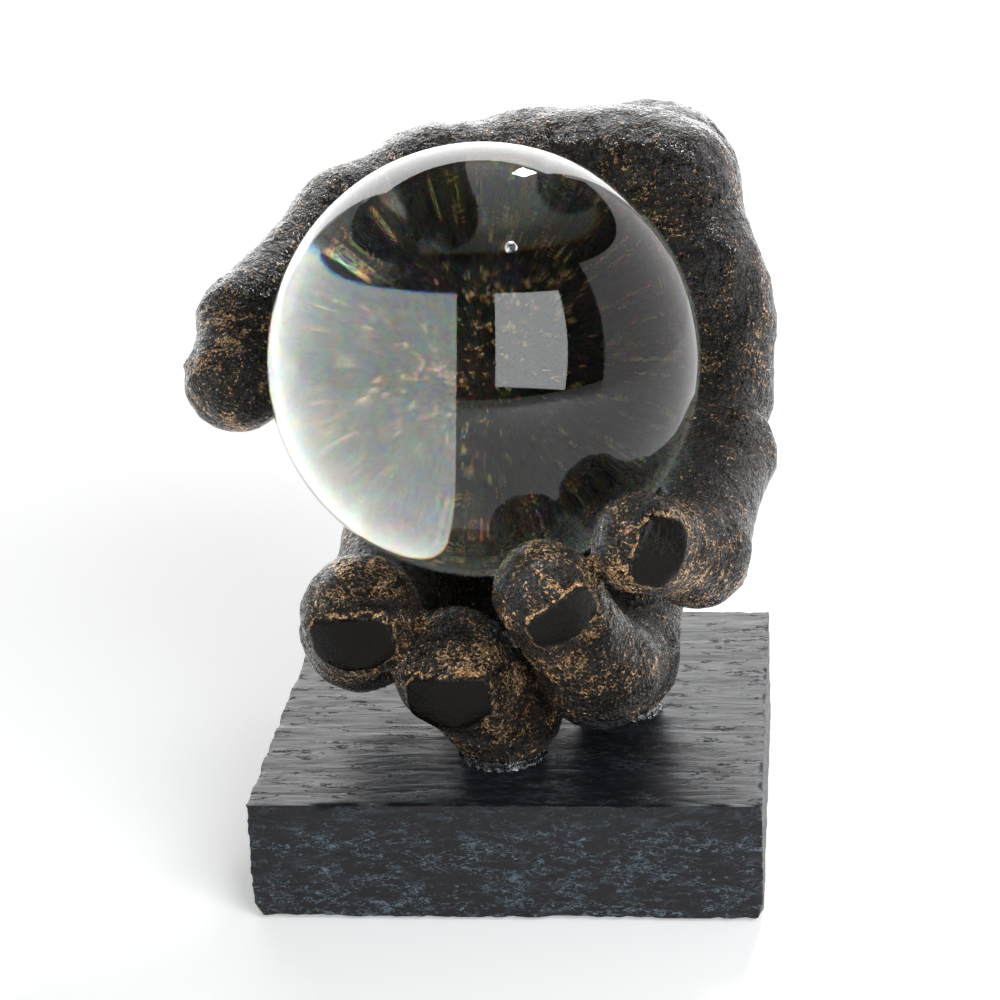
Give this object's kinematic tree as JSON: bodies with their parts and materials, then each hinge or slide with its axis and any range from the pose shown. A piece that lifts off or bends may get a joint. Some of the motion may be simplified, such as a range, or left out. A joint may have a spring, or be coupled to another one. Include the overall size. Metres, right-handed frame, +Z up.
{
  "type": "hand sculpture",
  "caption": "Desk sculpture of a cast bronze hand that stands on a slate block on its fingers and cradles a loose clear glass ball.",
  "frame": {"origin": "middle of the flat underside of the slate block, which the felt pads hold 1 mm above the table", "axes": "+Z up, +X to the viewer's right, +Y from the viewer towards the wrist"},
  "size_m": [0.1409, 0.1532, 0.1683],
  "materials": {
    "dark_bronze": "satin",
    "clear_glass": "polished",
    "slate": "satin",
    "clear_adhesive": "gloss",
    "zinc_steel": "satin",
    "black_felt": "matte"
  },
  "bodies": {
    "sculpture": {"hand_casting": "dark_bronze", "base_block": "slate", "adhesive_bead_middle": "clear_adhesive", "adhesive_bead_ring": "clear_adhesive", "fixing_screw_front": "zinc_steel", "screw_washer_front": "zinc_steel", "fixing_screw_side": "zinc_steel", "screw_washer_side": "zinc_steel", "felt_pad_front_left": "black_felt", "felt_pad_front_right": "black_felt", "felt_pad_back_left": "black_felt", "felt_pad_back_right": "black_felt"},
    "ball": {"glass_ball": "clear_glass"}
  },
  "joints": [
    {"name": "ball_lift", "type": "slide", "parent": "sculpture", "child": "ball", "axis": [0, -0.5, 0.866], "range_m": [0, 0.08]}
  ]
}
